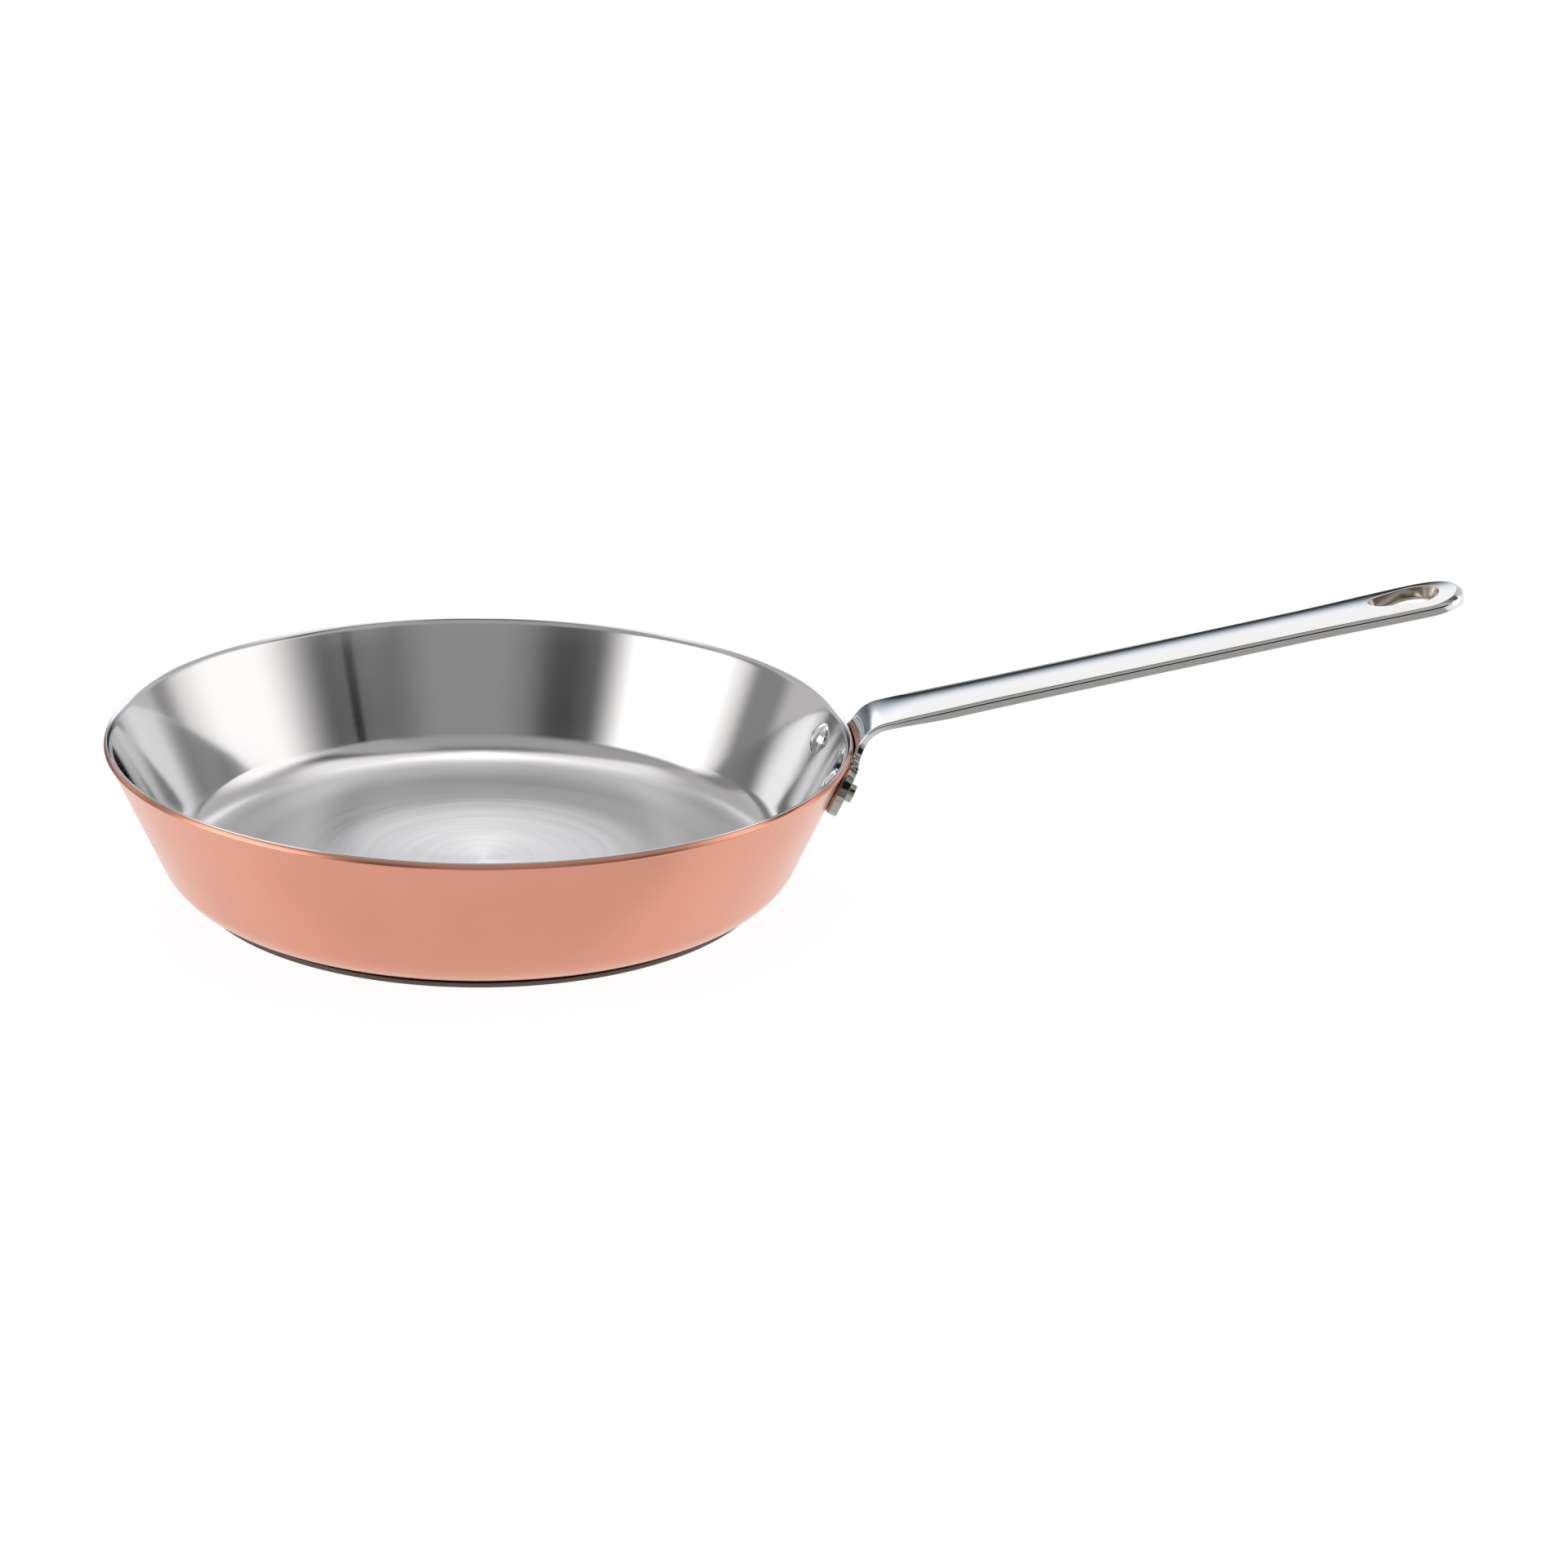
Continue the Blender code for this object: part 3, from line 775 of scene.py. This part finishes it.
def mirror_steel(name, roughness, shade_span, axis):
    """Polished steel with painted shade, darker and warmer, along one axis of the piece and inside the
    slot, where it is also rougher.
    """
    mat, nodes, shader = metal(name)
    where = object_place(nodes)
    cloud = nodes.noise(where, STEEL_CLOUDS, detail=3.0)
    plain = nodes.mix(cloud, PLAIN_STEEL, PLAIN_STEEL_PALE)
    # painted shade: the steel's colour darkens and warms towards the flange or the rivet's tail, with no
    # change in roughness
    painted_shade = nodes.remap(nodes.separate(where)[axis], *shade_span, smooth=True)
    in_slot = nodes.add("ShaderNodeAttribute", attribute_name="slot_wall").outputs["Fac"]
    # painted shade inside the slot's wall; the slot's real rougher finish is added below
    color = nodes.mix(in_slot, nodes.mix(painted_shade, plain, PAINTED_SHADE_STEEL), SLOT_PAINTED_SHADE)
    nodes.put(shader.inputs["Base Color"], color)
    polish = nodes.remap(cloud, 0.3, 0.7, *roughness)
    nodes.put(shader.inputs["Roughness"], nodes.math("ADD", polish, nodes.math("MULTIPLY", in_slot, 0.2)))
    return mat


# ---------------------------------------------------------------- studio

CAMERA_AZIMUTH = math.radians(-4.875)
CAMERA_ELEVATION = math.radians(20.314)
CAMERA_ROLL = math.radians(2.461)
CAMERA_DISTANCE = 0.968
CAMERA_TARGET = Vector((0.10577, -0.00902, 0.0373))
CAMERA_LENS = 62.9
SENSOR = 36.0                            # millimetres, as the lens

# The studio's light by direction, in degrees: azimuth is 0 behind the camera and positive towards +X. A
# zone replaces the light inside it by one level, with soft edges, and later zones cover earlier ones.
# (azimuths, elevations, softness of each, level)
LIGHT_ZONES = [
    ((-14.0, 30.0), (-90.0, 75.0), (12.0, 4.0), 0.36),      # grey middle of the bowl's far wall
    ((-35.0, -20.0), (-90.0, 40.0), (6.0, 4.0), 0.06),      # dark band on the wall's right
    ((48.4, 52.0), (-90.0, 28.0), (1.0, 3.0), 0.0),         # thin dark line on its left
    ((-116.0, -99.0), (-20.0, 36.0), (4.0, 6.0), 0.34),     # dimmer right end of the wall
    ((121.0, 131.0), (-20.0, 18.0), (4.0, 6.0), 0.36),      # dimmer left end
    ((-90.0, 70.0), (33.0, 72.0), (6.0, 11.0), 0.5),        # less light above the soft boxes
    ((38.0, 70.0), (28.0, 72.0), (6.0, 6.0), 0.55),
    ((-93.0, -48.0), (-20.0, 31.0), (10.0, 5.0), 2.0),      # left soft box, seen on the wall's right
    ((72.0, 116.0), (-20.0, 38.0), (14.0, 8.0), 1.55),      # right soft box, seen on the wall's left
]

FLOOR_REACH = 12.0
FLOOR_DROP = 0.0002                      # keeps the floor clear of the disc's underside

ALONG_HANDLE = -math.degrees(HANDLE_RISE)

# Reflectors seen only in the metal: (name, centre, size, turns about X and Y in degrees, light, fade)
CARDS = [
    ("far_dark_card", (-1.63, 1.67, 0.002), (4.34, 3.0), (0.0, 0.0), (0.03, 0.034, 0.04), (0.06, 0.06)),
    ("near_grey_card", (0.68, -0.76, 0.002), (1.06, 1.5), (0.0, 0.0), (0.40, 0.39, 0.37), (0.03, 0.03)),
    ("front_shade_card", (0.75, -0.7, 0.001), (2.0, 1.2), (0.0, 0.0), (0.72, 0.72, 0.72), (0.5, 0.02)),
    (
        "arris_card", (0.26, -0.06, 0.112), (0.32, 0.04), (90.0, ALONG_HANDLE),
        (0.02, 0.02, 0.022), (0.01, 0.004),
    ),
    (
        "ridge_card", (0.26, -0.0025, 0.113), (0.30, 0.024), (0.0, ALONG_HANDLE),
        (0.12, 0.12, 0.12), (0.01, 0.007),
    ),
    ("glow_card", (0.0, 0.35, 0.23), (0.22, 0.22), (90.0, 0.0), (2.2, 2.2, 2.25), (0.11, 0.06)),
]


def make_camera():
    data = bpy.data.cameras.new("camera")
    data.lens = CAMERA_LENS
    data.sensor_width = SENSOR
    data.clip_start = 0.01
    data.clip_end = 100.0
    camera = bpy.data.objects.new("camera", data)
    a, e = CAMERA_AZIMUTH, CAMERA_ELEVATION
    back = Vector((math.sin(a) * math.cos(e), -math.cos(a) * math.cos(e), math.sin(e)))
    turn = back.to_track_quat("Z", "Y").to_matrix().to_4x4() @ Matrix.Rotation(CAMERA_ROLL, 4, "Z")
    camera.matrix_world = Matrix.Translation(CAMERA_TARGET + back * CAMERA_DISTANCE) @ turn
    bpy.context.scene.collection.objects.link(camera)
    bpy.context.scene.camera = camera


def soft_zone(nodes, azimuth, elevation, az_range, el_range, softness):
    """A mask that is 1 inside a range of azimuths and elevations, with soft edges, all in degrees."""
    mask = None
    for value, (low, high), soft in zip((azimuth, elevation), (az_range, el_range), softness):
        rising = nodes.remap(value, low - soft, low + soft, smooth=True)
        falling = nodes.remap(value, high - soft, high + soft, 1.0, 0.0, smooth=True)
        side = nodes.math("MULTIPLY", rising, falling)
        mask = side if mask is None else nodes.math("MULTIPLY", mask, side)
    return mask


def make_world():
    """Studio light: dim on the camera's side, brighter beyond the pan, with a soft box on each side."""
    world = bpy.data.worlds.new("studio")
    world.use_nodes = True
    bpy.context.scene.world = world
    nodes = Nodes(world.node_tree)
    x, y, z = nodes.separate(nodes.add("ShaderNodeTexCoord").outputs["Generated"])
    to_degrees = math.degrees(1.0)
    elevation = nodes.math("MULTIPLY", nodes.math("ARCSINE", z), to_degrees)
    round_z = nodes.math("ARCTAN2", x, nodes.math("MULTIPLY", y, -1.0))
    azimuth = nodes.math("MULTIPLY", round_z, to_degrees)
    turn = nodes.math("ABSOLUTE", azimuth)
    # Beyond the pan, low, at middle height and high up, each from its sides to straight behind it
    horizon = nodes.remap(elevation, 5.0, 27.0, 0.04, 1.1, smooth=True)
    low = nodes.remap(turn, 150.0, 166.0, 0.7, horizon, smooth=True)
    middle = nodes.remap(turn, 148.0, 172.0, 0.62, 1.15, smooth=True)
    high = nodes.remap(turn, 145.0, 165.0, 1.3, 2.1, smooth=True)
    far_level = nodes.remap(elevation, 24.0, 30.0, low, middle, smooth=True)
    far_level = nodes.remap(elevation, 48.0, 60.0, far_level, high, smooth=True)
    level = nodes.remap(y, -0.12, 0.10, 0.16, far_level, smooth=True)
    for az_range, el_range, softness, value in LIGHT_ZONES:
        mask = soft_zone(nodes, azimuth, elevation, az_range, el_range, softness)
        level = nodes.remap(mask, 0.0, 1.0, level, value)
    # Blue near the horizon straight behind the pan, slightly warm elsewhere
    far = nodes.remap(y, 0.75, 0.93)
    red_tint = nodes.remap(elevation, 0.0, 26.0, 0.86, 0.99)
    blue_tint = nodes.remap(elevation, 0.0, 26.0, 1.14, 1.05)
    red = nodes.math("MULTIPLY", level, nodes.remap(far, 0.0, 1.0, 1.02, red_tint))
    blue = nodes.math("MULTIPLY", level, nodes.remap(far, 0.0, 1.0, 0.98, blue_tint))
    background = world.node_tree.nodes["Background"]
    nodes.put(background.inputs["Color"], nodes.combine(red, level, blue))
    background.inputs["Strength"].default_value = 1.0


def flat_object(name, half_x, half_y, mat):
    """A rectangle in its own XY plane, centred on its origin."""
    corners = [(sx * half_x, sy * half_y, 0.0) for sx, sy in ((-1, -1), (1, -1), (1, 1), (-1, 1))]
    mesh = bpy.data.meshes.new(name)
    mesh.from_pydata(corners, [], [range(len(corners))])
    return link_object(name, mesh, mat)


def make_floor():
    """Pale floor that lights itself, so that the shadow on it nearly vanishes."""
    mat = bpy.data.materials.new("pale_floor")
    mat.use_nodes = True
    shader = mat.node_tree.nodes["Principled BSDF"]
    shader.inputs["Base Color"].default_value = (0.08, 0.08, 0.08, 1.0)
    shader.inputs["Roughness"].default_value = 0.9
    shader.inputs["Specular IOR Level"].default_value = 0.1
    shader.inputs["Emission Color"].default_value = (1.0, 1.0, 1.0, 1.0)
    shader.inputs["Emission Strength"].default_value = 0.95
    floor = flat_object("floor", FLOOR_REACH, FLOOR_REACH, mat)
    floor.location.z = -FLOOR_DROP


def card(name, centre, size, tilt, level, fade):
    """A flat reflector seen only in the metal, with soft edges. tilt turns it about X, then about Y."""
    half = (size[0] / 2, size[1] / 2)
    mat = bpy.data.materials.new(name)
    mat.use_nodes = True
    nodes = Nodes(mat.node_tree)
    x, y, _ = nodes.separate(object_place(nodes))
    mask = 1.0
    for value, reach, soft in zip((x, y), half, fade):
        side = nodes.remap(nodes.math("ABSOLUTE", value), reach - soft, reach, 1.0, 0.0, smooth=True)
        mask = nodes.math("MULTIPLY", mask, side)
    emission = nodes.add("ShaderNodeEmission")
    emission.inputs["Color"].default_value = (*level, 1.0)
    clear = nodes.add("ShaderNodeBsdfTransparent")
    mix = nodes.add("ShaderNodeMixShader")
    nodes.put(mix.inputs[0], mask)
    nodes.put(mix.inputs[1], clear.outputs[0])
    nodes.put(mix.inputs[2], emission.outputs[0])
    nodes.put(mat.node_tree.nodes["Material Output"].inputs["Surface"], mix.outputs[0])
    obj = flat_object(name, *half, mat)
    obj.location = centre
    obj.rotation_euler = (math.radians(tilt[0]), math.radians(tilt[1]), 0.0)
    obj.visible_camera = False
    obj.visible_diffuse = False
    obj.visible_shadow = False


def make_studio():
    make_world()
    make_floor()
    for settings in CARDS:
        card(*settings)
    bpy.context.scene.view_settings.view_transform = "Standard"


def build():
    make_ply("copper_body", 0.0, COPPER, copper(), "copper_shell")
    make_ply("steel_lining", COPPER, SHEET, lining_steel(), "steel_liner")
    make_disc(disc_steel())
    make_handle(mirror_steel("mirror_handle_steel", HANDLE_POLISH, FLANGE_SHADE_SPAN, axis="X"))
    rivet_steel = mirror_steel("rivet_steel", RIVET_POLISH, TAIL_SHADE_SPAN, axis="Z")
    for word, side in (("right", 1), ("left", -1)):
        make_rivet(word, side, rivet_steel)


make_camera()
make_studio()
build()
